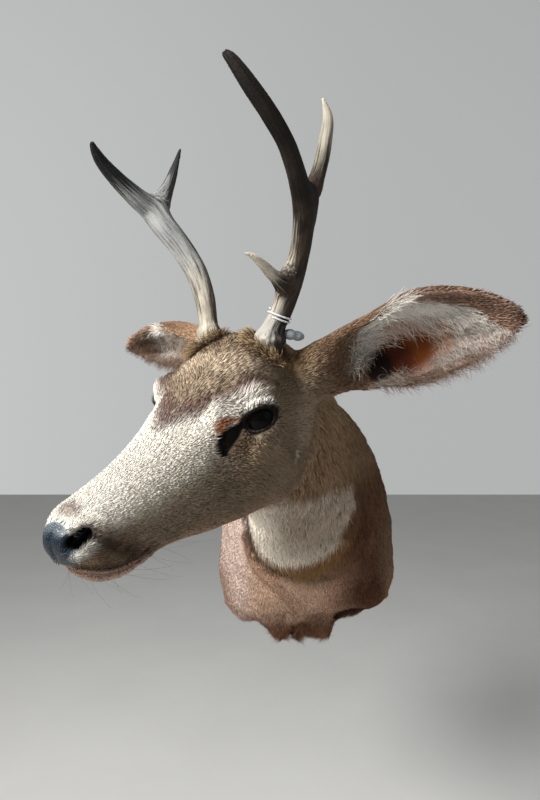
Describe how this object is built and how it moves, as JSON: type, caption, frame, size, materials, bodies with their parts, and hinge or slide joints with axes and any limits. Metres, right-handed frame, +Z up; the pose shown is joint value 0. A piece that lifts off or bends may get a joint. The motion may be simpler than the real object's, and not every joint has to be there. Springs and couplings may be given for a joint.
{
  "type": "deer shoulder mount",
  "caption": "Taxidermy wall mount of a young forked-antler deer buck, head turned to its right, ears out, neck and brisket on a hidden backboard.",
  "frame": {"origin": "middle of the backboard's back face, the face that lies against the wall", "axes": "+Y into the wall, +Z up, +X the deer's left, the viewer's right from in front"},
  "size_m": [0.3998, 0.583, 0.6137],
  "materials": {
    "face_hide": "short grey-brown facial hair, pale on the muzzle and round the eyes, matt",
    "neck_hide": "brown neck and brisket hair with a white throat patch, matt",
    "ear_hide": "thin ear skin, brown behind, long white hair inside, matt",
    "nose": "pebbled blue-black nose leather, satin",
    "eye": "polished dark brown glass eye, high gloss",
    "antler": "antler bone, grooved, grey-brown with darker tips, low sheen",
    "board": "plain sawn plywood, matt",
    "tie": "white cord, smooth",
    "tag": "grey plastic, smooth, satin"
  },
  "bodies": {
    "root": {"head": "face_hide", "lower_jaw": "face_hide", "nose_pad": "nose", "neck": "neck_hide", "brisket": "neck_hide", "ear_left": "ear_hide", "ear_right": "ear_hide", "eye_left": "eye", "eye_right": "eye", "antler_left_beam": "antler", "antler_left_brow_tine": "antler", "antler_left_front_tine": "antler", "antler_left_rear_tine": "antler", "antler_right_beam": "antler", "antler_right_front_tine": "antler", "antler_right_rear_tine": "antler", "backboard": "board", "antler_tie": "tie", "antler_tag": "tag"}
  },
  "joints": []
}
